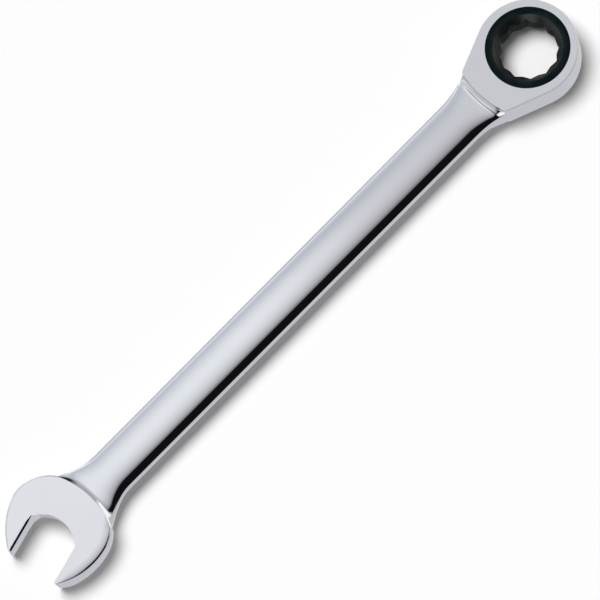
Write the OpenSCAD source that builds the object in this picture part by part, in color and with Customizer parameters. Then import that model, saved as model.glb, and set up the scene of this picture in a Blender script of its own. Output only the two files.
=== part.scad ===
// Ratcheting combination wrench for a 12 mm nut: one forged body with an open end and a ratchet ring,
// a 12 point gear, a toothed pawl, its coil spring and a retaining ring. Lengths in mm.
// The origin lies on the ratchet axis at mid thickness. +Z runs up that axis, the handle runs along -X.

/* [Overall] */
// distance along the handle from the ratchet axis to the centre of a nut in the open end
centre_distance = 155; // [125:1:200]
// nut size across flats taken by the ratchet ring
socket_af = 12; // [11:0.25:13]
// nut size across flats taken by the open end
jaw_af = 12; // [11:0.25:13]
// extra width of both openings over the nut
af_clear = 0.1; // [0.05:0.01:0.2]

/* [Ring head] */
// thickness of the ratchet head
head_t = 7.2; // [7:0.1:8.4]
// wall outside the gear bore
head_wall = 1.72; // [1.4:0.02:2.2]
// shift of the round head towards the handle
head_shift = 0.3; // [0.1:0.05:0.4]
// angle between the straight head flanks and the handle
flank_angle = 22; // [20:0.5:24]
// solid neck between the pawl pocket and the end of the raised face
neck_wall = 2.15; // [1.9:0.05:2.6]
// radius of the arc that ends the raised face
face_end_r = 25; // [20:1:40]
// small bevel on the outer edges of the head
head_break = 0.3; // [0.2:0.05:0.4]

/* [Ratchet gear] */
// number of teeth
tooth_count = 72; // [60:12:84]
// depth of a tooth
tooth_depth = 0.6; // [0.5:0.05:0.65]
// metal between the socket corners and the tooth roots
gear_wall = 2.06; // [1.8:0.02:2.4]
// how far the gear faces lie below the head faces
face_recess = 0.1; // [0.05:0.01:0.2]
// width of the lip that keeps the gear from leaving through the top
lip_w = 0.25; // [0.2:0.05:0.35]
// height of that lip
lip_t = 1.35; // [1.2:0.05:1.5]
// radial running clearance of the gear
run_clear = 0.06; // [0.04:0.01:0.09]
// end play of the gear on each side
end_play = 0.08; // [0.05:0.01:0.12]
// depth of the lead in bevel of the socket
lead_in = 1.0; // [0.7:0.05:1.1]
// turn of the socket corners away from the handle axis
socket_turn = 19; // [0:1:29]

/* [Retaining ring] */
// thickness of the ring
ring_t = 0.6; // [0.5:0.05:0.7]
// distance of the ring from the lower head face
ring_depth = 0.7; // [0.6:0.05:0.8]
// depth of the groove it snaps into
groove_depth = 0.4; // [0.3:0.05:0.5]
// slack of the ring in its groove
ring_slack = 0.03; // [0.02:0.01:0.05]
// opening angle of the ring
ring_gap = 22; // [16:1:30]

/* [Pawl and spring] */
// width of the pawl
pawl_w = 5; // [4.4:0.1:5.2]
// height of the pawl
pawl_h = 3.8; // [3.4:0.1:3.9]
// pawl body behind its teeth
pawl_body = 2.25; // [2:0.05:2.6]
// how far the pawl draws back
pawl_travel = 0.7; // [0.68:0.01:0.8]
// space left behind the drawn back pawl
pawl_stop = 0.15; // [0.1:0.01:0.25]
// clearance between the pawl and its pocket
pawl_clear = 0.05; // [0.03:0.01:0.08]
// clearance between the pawl teeth and the gear teeth, measured along the radius
mesh_clear = 0.12; // [0.1:0.01:0.15]
// outer diameter of the spring
spring_d = 1.9; // [1.6:0.1:2]
// wire diameter of the spring
spring_wire = 0.3; // [0.24:0.02:0.32]
// number of turns
spring_turns = 6; // [5:1:6]
// clearance around the spring
spring_clear = 0.1; // [0.06:0.01:0.14]
// play between the spring ends and their seats
spring_play = 0.05; // [0.03:0.01:0.1]
// depth of the spring seat in the pawl
pawl_seat = 1; // [0.8:0.05:1.1]
// depth of the spring hole in the neck
neck_seat = 3.4; // [3:0.1:3.6]

/* [Handle] */
// width of the handle at the ring end
handle_w_ring = 11; // [10.4:0.02:11.4]
// width of the handle at the open end
handle_w_open = 10.9; // [10.3:0.02:11.3]
// thickness of the handle
handle_t = 4.4; // [4:0.1:4.7]
// roundness of the handle section, 2 is an ellipse
handle_round = 2.6; // [2.3:0.1:3.2]
// radius of the sweep from the handle into the ring head
ring_sweep_r = 14; // [12:0.5:18]
// radius of the sweep from the handle into the open end
open_sweep_r = 10.2; // [9.5:0.1:11]
// length of the sweep into the open end
open_sweep_l = 6.95; // [6.4:0.05:7.2]
// extra half thickness where the handle swells towards its ends
swell = 0.1; // [0:0.02:0.2]
// length of that swelling
swell_l = 6; // [4:0.5:8]
// length of the hollow fillet at the ring head
ring_fillet = 1.4; // [1.1:0.05:1.6]
// length of the hollow fillet at the open end
open_fillet = 1.6; // [1.2:0.05:1.8]

/* [Open end] */
// thickness of the open end
open_t = 5; // [4.8:0.1:5.6]
// tilt of the jaws against the handle
jaw_tilt = 15; // [13:0.5:16]
// offset of the nut centre from the handle axis
jaw_drop = 1.9; // [1.7:0.05:2.1]
// radius of the lower jaw outline beyond the half width of the nut
jaw_wall = 9.95; // [9.75:0.05:10.4]
// radius of the upper jaw outline beyond the half width of the nut
up_wall = 13.4; // [13.2:0.1:13.8]
// radius of the rounded throat beyond the half width of the nut
throat_relief = 2.05; // [1.9:0.05:2.2]
// distance from the nut centre to the back of the raised face
back_reach = 15.95; // [15.7:0.05:16.2]
// radius of the arc at the back of the raised face
back_r = 22; // [20:0.5:26]
// radius of the upper shoulder
shoulder_r = 8.6; // [8.4:0.1:8.8]
// radius of the lower shoulder
heel_r = 10.1; // [9.8:0.1:10.4]
// bevel on the outer edges of the open end
open_break = 0.7; // [0.4:0.05:0.9]

/* [Hidden] */
$fn = 96;
socket_corner = (socket_af + af_clear) / 2 / cos(30);
socket_inner = (socket_af + af_clear) / 2 / cos(15);
tooth_root = socket_corner + gear_wall;
tooth_tip = tooth_root + tooth_depth;
pitch = 360 / tooth_count;
steep = pitch * 0.28;
journal_top = tooth_tip - lip_w;
// the lower journal lies this far inside the tooth roots
journal_step = 0.45;
journal_low = tooth_root - journal_step;
bore_r = tooth_tip + run_clear;
lip_r = journal_top + run_clear;
groove_r = bore_r + groove_depth;
head_r = bore_r + head_wall;
// the straight flanks lie this far inside the tangents of the round head
flank_set = 0.04;
// bevel around the far ends of both raised faces
end_break = 0.15;
// the handle ends this far below the faces and inside the flanks of the heads that it runs into
tuck = 0.1;
flank_tuck = 0.06;
// the lead in bevel starts this far inside the socket corners
lead_lap = 0.1;
lead_r = socket_corner - lead_lap;
// the lower lead in bevel takes this share of the metal below the teeth
low_share = 0.82;
low_lead = low_share * (journal_low - lead_r);
head_z = head_t / 2;
gear_z = head_z - face_recess;
teeth_top = head_z - lip_t - end_play;
ring_low = -head_z + ring_depth;
ring_top = ring_low + ring_t;
teeth_low = ring_top + end_play;
// radial gap between the retaining ring and the lower journal
ring_gap_in = 0.15;
ring_in = journal_low + ring_gap_in;
ring_out = groove_r - ring_slack;
pawl_back = tooth_tip + pawl_body;
pocket_back = pawl_back + pawl_travel + pawl_stop;
spring_r = (spring_d - spring_wire) / 2;
spring_hole_r = spring_d / 2 + spring_clear;
spring_front = pawl_back - pawl_seat;
spring_end = pocket_back + neck_seat;
face_end = pocket_back + neck_wall;
open_z = open_t / 2;
jaw_r = jaw_af / 2 + jaw_wall;
up_r = jaw_af / 2 + up_wall;
throat_r = jaw_af / 2 + throat_relief;
nut = [-centre_distance, -jaw_drop];
jaw_up = nut + [11.5, -4.28];
jaw_low = nut + [5.5, 5.35];
back_c = nut + [back_reach - back_r, 1.2];
// the jaw outlines run into their shoulders at these angles
shoulder_turn = 116.4;
heel_turn = -75;
shoulder_c = jaw_up + (up_r - shoulder_r) * [cos(shoulder_turn), sin(shoulder_turn)];
heel_c = jaw_low + (jaw_r - heel_r) * [cos(heel_turn), sin(heel_turn)];
throat_c = nut + [-0.5, 0.7];
// direction from the centre of one arc to the point where it meets the arc at the back of the face
function meet(c, r) = let (d = back_c - c, l = norm(d))
    atan2(d[1], d[0]) + acos(max(-1, min(1, (r * r + l * l - back_r * back_r) / (2 * r * l))));
shoulder_a = meet(shoulder_c, shoulder_r);
heel_a = meet(heel_c, heel_r) - 360;
back_x = nut[0] + back_reach;

// half width of the head flank at a distance x behind the ratchet axis
function flank_y(x) = (head_r - flank_set) / cos(flank_angle) - (x - head_shift) * tan(flank_angle);

// handle stations: distance from the ratchet axis, half width, half thickness, roundness, bow
neck_y = flank_y(face_end) - flank_tuck;
ring_rise = neck_y - handle_w_ring / 2;
ring_run = sqrt(max(0.01, ring_sweep_r * ring_sweep_r - pow(ring_sweep_r - ring_rise, 2)));
open_rise = open_sweep_r - sqrt(open_sweep_r * open_sweep_r - open_sweep_l * open_sweep_l);
open_start = -back_x - max(open_sweep_l, swell_l);
ring_start = face_end + max(ring_run, swell_l);
ring_top_z = head_z - tuck;
open_top_z = open_z - tuck;
span = open_start - ring_start;
function quarter(u) = 1 - sqrt(max(0, 1 - (1 - u) * (1 - u)));
function handle_half(s) = (handle_w_ring + (handle_w_open - handle_w_ring) * s) / 2;
function ring_half(d) = let (t = max(0, ring_run - d))
    handle_w_ring / 2 + ring_sweep_r - sqrt(ring_sweep_r * ring_sweep_r - t * t);
function open_half(d) = let (t = max(0, open_sweep_l - d))
    handle_w_open / 2 + open_sweep_r - sqrt(open_sweep_r * open_sweep_r - t * t);
function swollen(d) = handle_t / 2 + swell * pow(max(0, 1 - d / swell_l), 2);
function rise(d, len, top) = d >= len ? swollen(d)
    : swollen(d) + (top - swollen(d)) * quarter(d / len);
function round_at(d) = handle_round + (6 - handle_round) * pow(max(0, 1 - d / swell_l), 1.5);
ring_steps = [for (u = [0, 0.02, 0.07, 0.15, 0.27, 0.45, 0.7, 1]) u * ring_fillet];
sweep_steps = [for (k = [1:6]) ring_fillet + (max(ring_run, swell_l) - ring_fillet) * k / 6];
open_steps = [for (u = [1, 0.7, 0.45, 0.27, 0.15, 0.07, 0.02, 0]) u * open_fillet];
fan_run = max(open_sweep_l, swell_l);
fan_steps = [for (k = [0:6]) fan_run + (open_fillet - fan_run) * k / 7];
stations = concat(
    [[face_end - 2, neck_y, ring_top_z, 6, 1]],
    [for (d = ring_steps) [face_end + d, ring_half(d), rise(d, ring_fillet, ring_top_z), round_at(d), 1]],
    [for (d = sweep_steps) [face_end + d, ring_half(d), swollen(d), round_at(d),
        max(0, 1 - d / ring_run)]],
    [for (k = [1:5]) [ring_start + span * k / 6, handle_half(k / 6), handle_t / 2, handle_round, 0]],
    [for (d = fan_steps) [-back_x - d, open_half(d), swollen(d), round_at(d),
        -max(0, 1 - d / open_sweep_l)]],
    [for (d = open_steps) [-back_x - d, open_half(d), rise(d, open_fillet, open_top_z), round_at(d), -1]],
    [[-back_x + 1.5, open_half(0), open_top_z, 6, -1]]);
around = 40;
function signed_pow(c, p) = c < 0 ? -pow(-c, p) : pow(c, p);
function bow(st, y) = st[4] > 0 ? st[4] * y * y / (2 * face_end_r)
    : st[4] * (y - back_c[1]) * (y - back_c[1]) / (2 * back_r);
function ring_point(st, k) = let (t = 360 * (k + 0.5) / around, y = st[1] * signed_pow(cos(t), 2 / st[3]))
    [-st[0] + bow(st, y), y, st[2] * signed_pow(sin(t), 2 / st[3])];
function side_faces(rows, n) = [for (i = [0:rows - 2]) for (j = [0:n - 1]) let (k = (j + 1) % n)
    each [[i * n + j, i * n + k, (i + 1) * n + k], [i * n + j, (i + 1) * n + k, (i + 1) * n + j]]];

// outline of the gear teeth with the roots and tips moved out by c
function teeth(c) = [for (i = [0:tooth_count - 1]) each [
    (tooth_root + c) * [cos(i * pitch), sin(i * pitch)],
    (tooth_tip + c) * [cos(i * pitch + steep), sin(i * pitch + steep)]]];

function socket_points() = [for (i = [0:11]) each [
    socket_corner * [cos(socket_turn + 30 * i), sin(socket_turn + 30 * i)],
    socket_inner * [cos(socket_turn + 30 * i + 15), sin(socket_turn + 30 * i + 15)]]];

// round plate with bevelled edges
module plate(r, t, b) {
    h = t / 2;
    rotate_extrude() polygon([[0, -h], [r - b, -h], [r, -h + b], [r, h - b], [r - b, h], [0, h]]);
}

module handle() {
    polyhedron(points = [for (st = stations) for (k = [0:around - 1]) ring_point(st, k)],
        faces = concat(side_faces(len(stations), around),
            [[for (k = [around - 1:-1:0]) k]],
            [[for (k = [0:around - 1]) (len(stations) - 1) * around + k]]));
}

function flank_shape(cut) = let (h = head_r - flank_set - cut, x0 = -head_shift - h * sin(flank_angle),
    x1 = -face_end - 1,
    y1 = h / cos(flank_angle) + (x1 + head_shift) * tan(flank_angle))
    [[x0, h * cos(flank_angle)], [x1, y1], [x1, -y1], [x0, -h * cos(flank_angle)], [0, -5], [0, 5]];

module ring_head() {
    translate([-head_shift, 0, 0]) plate(head_r, head_t, head_break);
    intersection() {
        translate([-face_end + face_end_r, 0, 0]) plate(face_end_r, head_t, end_break);
        hull() {
            translate([0, 0, -head_z + head_break]) linear_extrude(head_t - 2 * head_break)
                polygon(flank_shape(0));
            translate([0, 0, -head_z]) linear_extrude(head_t) polygon(flank_shape(head_break));
        }
    }
}

module wedge(c, a0, a1) {
    translate([c[0], c[1], -open_t]) linear_extrude(2 * open_t)
        polygon([[0, 0], 30 * [cos(a0), sin(a0)], 40 * [cos((a0 + a1) / 2), sin((a0 + a1) / 2)],
            30 * [cos(a1), sin(a1)]]);
}

module jaw_gap() {
    intersection() {
        translate([nut[0], nut[1], -open_t]) rotate([0, 0, jaw_tilt])
            translate([-30, -(jaw_af + af_clear) / 2, 0]) cube([50, jaw_af + af_clear, 2 * open_t]);
        union() {
            translate([throat_c[0], throat_c[1], -open_t]) cylinder(r = throat_r, h = 2 * open_t);
            translate([throat_c[0] - 30, throat_c[1] - 20, -open_t]) cube([30, 40, 2 * open_t]);
        }
    }
}

module open_head() {
    difference() {
        union() {
            difference() {
                intersection() {
                    translate([jaw_up[0], jaw_up[1], 0]) plate(up_r, open_t, open_break);
                    translate([jaw_low[0], jaw_low[1], 0]) plate(jaw_r, open_t, open_break);
                    translate([back_c[0], back_c[1], 0]) plate(back_r, open_t, end_break);
                }
                wedge(shoulder_c, shoulder_a, shoulder_turn);
                wedge(heel_c, heel_turn, heel_a);
            }
            intersection() {
                translate([shoulder_c[0], shoulder_c[1], 0]) plate(shoulder_r, open_t, open_break);
                wedge(shoulder_c, shoulder_a - 1, shoulder_turn + 1);
            }
            intersection() {
                translate([heel_c[0], heel_c[1], 0]) plate(heel_r, open_t, open_break);
                wedge(heel_c, heel_turn - 1, heel_a + 1);
            }
        }
        jaw_gap();
    }
}

module wrench_body() {
    color([0.78, 0.79, 0.81]) difference() {
        union() {
            ring_head();
            handle();
            open_head();
        }
        translate([0, 0, -head_z - 1]) cylinder(r = lip_r, h = head_t + 2);
        translate([0, 0, -head_z - 1]) cylinder(r = bore_r, h = 1 + head_t - lip_t);
        translate([0, 0, ring_low - ring_slack]) cylinder(r = groove_r, h = ring_t + 2 * ring_slack);
        translate([-pocket_back, -pawl_w / 2 - pawl_clear, -pawl_h / 2 - pawl_clear])
            cube([pocket_back - tooth_root + 1, pawl_w + 2 * pawl_clear, pawl_h + 2 * pawl_clear]);
        translate([-spring_end, 0, 0]) rotate([0, 90, 0])
            cylinder(r = spring_hole_r, h = neck_seat + 0.5, $fn = 48);
    }
}

module ratchet_gear() {
    color([0.08, 0.09, 0.09]) difference() {
        union() {
            translate([0, 0, teeth_top]) cylinder(r = journal_top, h = gear_z - teeth_top);
            translate([0, 0, teeth_low]) linear_extrude(teeth_top - teeth_low) polygon(teeth(0));
            translate([0, 0, -gear_z]) cylinder(r = journal_low, h = teeth_low + gear_z);
        }
        translate([0, 0, -head_t]) linear_extrude(2 * head_t) polygon(socket_points());
        translate([0, 0, gear_z - lead_in]) cylinder(r1 = lead_r, r2 = lead_r + lead_in, h = lead_in);
        translate([0, 0, gear_z]) cylinder(r = lead_r + lead_in, h = 1);
        translate([0, 0, -gear_z]) cylinder(r1 = lead_r + low_lead, r2 = lead_r, h = low_lead);
        translate([0, 0, -gear_z - 1]) cylinder(r = lead_r + low_lead, h = 1);
    }
}

module pawl() {
    color([0.45, 0.45, 0.47]) difference() {
        translate([-pawl_back, -pawl_w / 2, -pawl_h / 2])
            cube([pawl_back - tooth_root + 0.3, pawl_w, pawl_h]);
        translate([0, 0, -pawl_h]) linear_extrude(2 * pawl_h) polygon(teeth(mesh_clear));
        translate([-pawl_back - 1, 0, 0]) rotate([0, 90, 0])
            cylinder(r = spring_hole_r, h = 1 + pawl_seat, $fn = 48);
    }
}

wire_sides = 6;
turn_steps = 12;
wire_steps = spring_turns * turn_steps;
spring_pitch = (spring_end - spring_front - spring_wire - 2 * spring_play) / spring_turns;
function wire_ring(k) = let (t = k / turn_steps * 360,
        x = -spring_front - spring_play - spring_wire / 2 - k / turn_steps * spring_pitch)
    [for (j = [0:wire_sides - 1])
        let (q = 360 * j / wire_sides + 90, r = spring_r + spring_wire / 2 * cos(q))
        [x + spring_wire / 2 * sin(q), r * cos(t), r * sin(t)]];
// least distance between a point of the wire and the points of the next turn
spring_gap = min([for (p = wire_ring(turn_steps)) for (k = [-2:2]) for (q = wire_ring(k)) norm(p - q)]);

module pawl_spring() {
    echo("least gap between the turns of the spring", spring_gap);
    color([0.6, 0.6, 0.62]) polyhedron(
        points = [for (k = [0:wire_steps]) each wire_ring(k)],
        faces = concat(side_faces(wire_steps + 1, wire_sides),
            [[for (j = [wire_sides - 1:-1:0]) j]],
            [[for (j = [0:wire_sides - 1]) wire_steps * wire_sides + j]]));
}

module retaining_ring() {
    color([0.5, 0.5, 0.52]) translate([0, 0, ring_low]) difference() {
        cylinder(r = ring_out, h = ring_t);
        translate([0, 0, -1]) cylinder(r = ring_in, h = ring_t + 2);
        translate([0, 0, -1]) linear_extrude(ring_t + 2)
            polygon([[0, 0], 20 * [cos(ring_gap / 2), -sin(ring_gap / 2)],
                20 * [cos(ring_gap / 2), sin(ring_gap / 2)]]);
    }
}

wrench_body();
ratchet_gear();
pawl();
pawl_spring();
retaining_ring();
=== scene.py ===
import math

import bmesh
import bpy
from mathutils import Matrix, Vector


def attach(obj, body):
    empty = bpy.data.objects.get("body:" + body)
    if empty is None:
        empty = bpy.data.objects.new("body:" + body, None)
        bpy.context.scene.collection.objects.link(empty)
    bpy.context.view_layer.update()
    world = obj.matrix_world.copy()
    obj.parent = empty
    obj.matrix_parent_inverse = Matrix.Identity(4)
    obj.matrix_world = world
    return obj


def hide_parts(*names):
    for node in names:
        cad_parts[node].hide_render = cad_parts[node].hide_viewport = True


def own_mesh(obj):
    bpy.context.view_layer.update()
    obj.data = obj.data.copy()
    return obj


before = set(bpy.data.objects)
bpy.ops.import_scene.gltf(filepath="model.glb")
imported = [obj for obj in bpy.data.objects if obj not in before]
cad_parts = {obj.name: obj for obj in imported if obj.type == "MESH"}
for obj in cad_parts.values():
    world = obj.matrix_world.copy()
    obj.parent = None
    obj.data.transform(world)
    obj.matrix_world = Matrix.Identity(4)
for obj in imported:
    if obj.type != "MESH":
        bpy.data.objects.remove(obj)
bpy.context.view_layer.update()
scene = bpy.context.scene
scene.view_settings.view_transform = "Standard"
print("frame loaded:", ", ".join(sorted(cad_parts)))

# All shapes are drawn in millimetres and brought to metres when a piece is finished.
mm = 0.001

# Camera
viewing = dict(
    tilt=19.5,  # degrees away from straight down
    side=(-0.4463, -0.8949, 0.0),  # level direction towards the camera
    roll=20.0,
    across=132.03,  # mm over the width of the picture
    pixels=600,
    ringPixel=(527.65, 47.45),  # where the ratchet axis leaves the upper face
    ringFace=3.6,
    lens=1500.0,
    sensor=36.0,
)


def placeCamera(v):
    tilt = math.radians(v["tilt"])
    roll = math.radians(v["roll"])
    side = Vector(v["side"]).normalized()
    up = Vector((0, 0, 1))
    level = Vector((-side.y, side.x, 0))
    away = side * math.cos(tilt) - up * math.sin(tilt)
    back = side * math.sin(tilt) + up * math.cos(tilt)
    right = level * math.cos(roll) + away * math.sin(roll)
    drop = away * math.cos(roll) - level * math.sin(roll)
    step = v["across"] / v["pixels"]
    shiftX = (v["ringPixel"][0] - v["pixels"] / 2) * step
    shiftY = (v["ringPixel"][1] - v["pixels"] / 2) * step
    aim = Vector((0, 0, v["ringFace"])) - right * shiftX - drop * shiftY
    spot = aim + back * (v["lens"] / v["sensor"] * v["across"])
    data = bpy.data.cameras.new("camera")
    data.lens = v["lens"]
    data.sensor_width = v["sensor"]
    camera = bpy.data.objects.new("camera", data)
    camera.matrix_world = Matrix.Translation(spot * mm) @ Matrix((right, -drop, back)).transposed().to_4x4()
    scene.collection.objects.link(camera)
    scene.camera = camera


placeCamera(viewing)
print("camera placed")


# Mesh helpers
def newObject(name, data):
    obj = bpy.data.objects.new(name, data)
    scene.collection.objects.link(obj)
    return obj


def smoothShade(mesh, sharp):
    mesh.shade_smooth()
    mesh.set_sharp_from_angle(angle=math.radians(sharp))


def toObject(bm, name, materials=(), sharp=30.0):
    bmesh.ops.scale(bm, vec=(mm, mm, mm), verts=bm.verts)
    bmesh.ops.recalc_face_normals(bm, faces=bm.faces)
    mesh = bpy.data.meshes.new(name)
    bm.to_mesh(mesh)
    bm.free()
    for material in materials:
        mesh.materials.append(material)
    smoothShade(mesh, sharp)
    return newObject(name, mesh)


def combine(base, helpers, name, sharp):
    # every helper is joined to the base or cut from it, and the result is a mesh of its own
    for helper, operation in helpers:
        step = base.modifiers.new(operation.lower(), "BOOLEAN")
        step.operation = operation
        step.object = helper
        step.solver = "MANIFOLD"
    graph = bpy.context.evaluated_depsgraph_get()
    graph.update()
    mesh = bpy.data.meshes.new_from_object(base.evaluated_get(graph), depsgraph=graph)
    mesh.name = name
    smoothShade(mesh, sharp)
    for obj in [base] + [helper for helper, _ in helpers]:
        bpy.data.objects.remove(obj)
    return newObject(name, mesh)


def evenNormals(obj):
    step = obj.modifiers.new("even normals", "WEIGHTED_NORMAL")
    step.keep_sharp = True


def drawLine(bm, vert, x, y, z=0):
    made = bmesh.ops.extrude_vert_indiv(bm, verts=[vert])["verts"][0]
    made.co = (x, y, z)
    return made


def closeOutline(bm, last, first):
    bm.edges.new((last, first))
    bmesh.ops.contextual_create(bm, geom=bm.edges[:])


def thicken(bm, half):
    made = bmesh.ops.extrude_face_region(bm, geom=bm.faces[:])["geom"]
    top = [g for g in made if isinstance(g, bmesh.types.BMVert)]
    low = [v for v in bm.verts if v not in set(top)]
    bmesh.ops.translate(bm, verts=top, vec=(0, 0, half))
    bmesh.ops.translate(bm, verts=low, vec=(0, 0, -half))
    bmesh.ops.recalc_face_normals(bm, faces=bm.faces)


def loftRings(bm, count, rings, shape):
    # one circle is extruded from ring to ring, and every vertex keeps its turn
    turn = bm.verts.layers.float.new("turn")
    made = bmesh.ops.create_circle(bm, cap_ends=False, radius=1.0, segments=count)["verts"]
    for i, v in enumerate(made):
        v[turn] = i / count
    edges = bm.edges[:]
    first = edges
    for k, ring in enumerate(rings):
        if k:
            geom = bmesh.ops.extrude_edge_only(bm, edges=edges)["geom"]
            made = [g for g in geom if isinstance(g, bmesh.types.BMVert)]
            fresh = set(made)
            edges = [
                g for g in geom
                if isinstance(g, bmesh.types.BMEdge) and g.verts[0] in fresh and g.verts[1] in fresh]
        for v in made:
            v.co = shape(ring, v[turn])
    return first, edges


def turned(profile, name, steps=192):
    # profile of (radius, height) turned once around the ratchet axis
    bm = bmesh.new()
    last = bm.verts.new((profile[0][0], 0, profile[0][1]))
    for r, z in profile[1:]:
        last = drawLine(bm, last, r, 0, z)
    bmesh.ops.spin(
        bm, geom=bm.verts[:] + bm.edges[:], cent=(0, 0, 0), axis=(0, 0, 1), dvec=(0, 0, 0),
        angle=math.tau, steps=steps, use_merge=True, use_duplicate=False)
    bmesh.ops.remove_doubles(bm, verts=bm.verts, dist=0.0001)
    return toObject(bm, name)


def rod(start, stop, radius, name, sides=40):
    # round rod along the handle axis
    bm = bmesh.new()
    spot = Matrix.Translation(((start + stop) / 2, 0, 0)) @ Matrix.Rotation(math.pi / 2, 4, "Y")
    bmesh.ops.create_cone(
        bm, cap_ends=True, segments=sides, radius1=radius, radius2=radius, depth=stop - start, matrix=spot)
    return toObject(bm, name)


# Materials
def addNode(tree, kind, **values):
    made = tree.nodes.new(kind)
    for key, value in values.items():
        if key in made.inputs:
            made.inputs[key].default_value = value
        else:
            setattr(made, key, value)
    return made


def mapRange(tree, source, low, high, toLow=0.0, toHigh=1.0, kind="LINEAR"):
    made = addNode(tree, "ShaderNodeMapRange", interpolation_type=kind)
    for socket, value in zip(made.inputs[1:5], (low, high, toLow, toHigh)):
        socket.default_value = value
    tree.links.new(source, made.inputs[0])
    return made.outputs[0]


def mathNode(tree, operation, first, second):
    made = addNode(tree, "ShaderNodeMath", operation=operation)
    tree.links.new(first, made.inputs[0])
    tree.links.new(second, made.inputs[1])
    return made.outputs[0]


def mixColour(tree, share, first, second):
    # first and second are sockets or plain colours
    made = addNode(tree, "ShaderNodeMix", data_type="RGBA")
    tree.links.new(share, made.inputs[0])
    for socket, value in ((made.inputs[6], first), (made.inputs[7], second)):
        if isinstance(value, tuple):
            socket.default_value = (*value, 1)
        else:
            tree.links.new(value, socket)
    return made.outputs[2]


def makeMetalGrain():
    # fine grain, broad smudges and polishing lines along the tool, all from Object coordinates
    tree = bpy.data.node_groups.new("metalGrain", "ShaderNodeTree")
    face = tree.interface
    for name, value in (("Grain Scale", 4000.0), ("Smudge Scale", 70.0), ("Line Scale", 2500.0)):
        socket = face.new_socket(name=name, in_out="INPUT", socket_type="NodeSocketFloat")
        socket.default_value = value
    for name in ("Grain", "Smudge", "Lines"):
        face.new_socket(name=name, in_out="OUTPUT", socket_type="NodeSocketFloat")
    entry = tree.nodes.new("NodeGroupInput")
    leave = tree.nodes.new("NodeGroupOutput")
    place = tree.nodes.new("ShaderNodeTexCoord")
    grain = addNode(tree, "ShaderNodeTexNoise", Detail=3.0, Roughness=0.6)
    smudge = addNode(tree, "ShaderNodeTexNoise", Detail=4.0, Roughness=0.55, Distortion=0.6)
    lines = addNode(tree, "ShaderNodeTexNoise", Detail=2.0, Roughness=0.5)
    stretch = addNode(tree, "ShaderNodeMapping")
    stretch.inputs["Scale"].default_value = (0.03, 1.0, 1.0)  # long along the tool
    tree.links.new(place.outputs["Object"], grain.inputs["Vector"])
    tree.links.new(place.outputs["Object"], smudge.inputs["Vector"])
    tree.links.new(place.outputs["Object"], stretch.inputs["Vector"])
    tree.links.new(stretch.outputs["Vector"], lines.inputs["Vector"])
    tree.links.new(entry.outputs["Grain Scale"], grain.inputs["Scale"])
    tree.links.new(entry.outputs["Smudge Scale"], smudge.inputs["Scale"])
    tree.links.new(entry.outputs["Line Scale"], lines.inputs["Scale"])
    tree.links.new(grain.outputs["Fac"], leave.inputs["Grain"])
    tree.links.new(smudge.outputs["Fac"], leave.inputs["Smudge"])
    tree.links.new(lines.outputs["Fac"], leave.inputs["Lines"])
    return tree


metalGrain = makeMetalGrain()
# how much of the noise the looks go over
spread = dict(drift=(0.3, 0.7), rub=(0.35, 0.65), rubLeast=0.2, rough=(0.7, 1.3))


def makeMetal(name, look):
    material = bpy.data.materials.new(name)
    material.use_nodes = True
    tree = material.node_tree
    shader = tree.nodes["Principled BSDF"]
    shader.inputs["Metallic"].default_value = look["metallic"]
    shader.inputs["Specular IOR Level"].default_value = look.get("specular", 0.5)
    grain = tree.nodes.new("ShaderNodeGroup")
    grain.node_tree = metalGrain
    grain.inputs["Grain Scale"].default_value = look["grain"]
    grain.inputs["Smudge Scale"].default_value = look["smudge"]
    grain.inputs["Line Scale"].default_value = look["lines"]
    # colour drifts with the smudges
    drift = mapRange(tree, grain.outputs["Smudge"], *spread["drift"])
    colour = mixColour(tree, drift, look["dark"], look["light"])
    if "worn" in look:
        # another tone shows where edges are rubbed
        wear = addNode(tree, "ShaderNodeAttribute", attribute_name="wear")
        patches = mapRange(tree, grain.outputs["Smudge"], *spread["rub"], spread["rubLeast"], 1.0)
        rubbed = mathNode(tree, "MULTIPLY", wear.outputs["Fac"], patches)
        colour = mixColour(tree, rubbed, colour, look["worn"])
    tree.links.new(colour, shader.inputs["Base Color"])
    # roughness follows grain and smudges together
    mixed = mathNode(tree, "ADD", grain.outputs["Grain"], grain.outputs["Smudge"])
    rough = mapRange(tree, mixed, *spread["rough"], look["smooth"], look["rough"])
    tree.links.new(rough, shader.inputs["Roughness"])
    relief = addNode(tree, "ShaderNodeMath", operation="MULTIPLY_ADD")
    relief.inputs[1].default_value = look["lineShare"]
    tree.links.new(grain.outputs["Lines"], relief.inputs[0])
    tree.links.new(grain.outputs["Grain"], relief.inputs[2])
    bump = addNode(tree, "ShaderNodeBump", Strength=look["bump"], Distance=look["depth"])
    tree.links.new(relief.outputs[0], bump.inputs["Height"])
    tree.links.new(bump.outputs["Normal"], shader.inputs["Normal"])
    return material


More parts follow.
